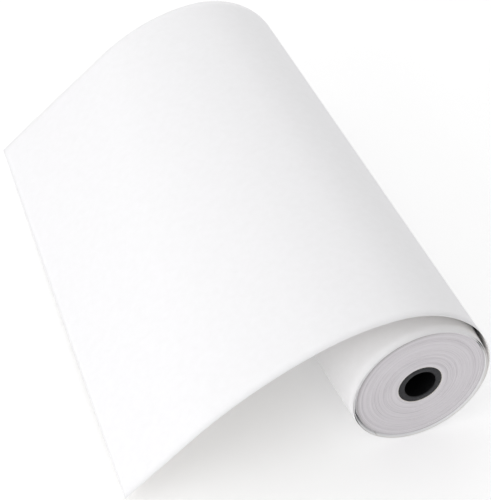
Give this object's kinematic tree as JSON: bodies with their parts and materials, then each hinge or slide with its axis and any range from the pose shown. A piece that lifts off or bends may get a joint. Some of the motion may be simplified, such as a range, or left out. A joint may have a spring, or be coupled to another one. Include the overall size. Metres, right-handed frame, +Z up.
{
  "type": "backdrop paper roll",
  "caption": "Short roll of white backdrop paper wound on a black plastic core, its last turn sprung loose and the leader pulled over the top down to the table.",
  "frame": {"origin": "centre of the core's bore, half-way along the roll", "axes": "+Y along the core from the end with the open view of the turns to the far end, +Z up, and the leader comes down on the -X side"},
  "size_m": [0.2951, 0.457, 0.1336],
  "materials": {
    "core_plastic": "satin",
    "paper_tape": "matte",
    "paper_edges": "matte",
    "paper_sheet": "matte"
  },
  "bodies": {
    "sheet": {"loose_turn": "paper_sheet", "web_arch": "paper_sheet", "leader": "paper_sheet"},
    "roll": {"core_tube": "core_plastic", "starter_tape": "paper_tape", "wound_pack": "paper_edges", "slack_turn": "paper_sheet"}
  },
  "joints": [
    {"name": "roll_spin", "type": "hinge", "parent": "sheet", "child": "roll", "pos_m": [0, 0, 0], "axis": [0, -1, 0], "continuous": true}
  ]
}
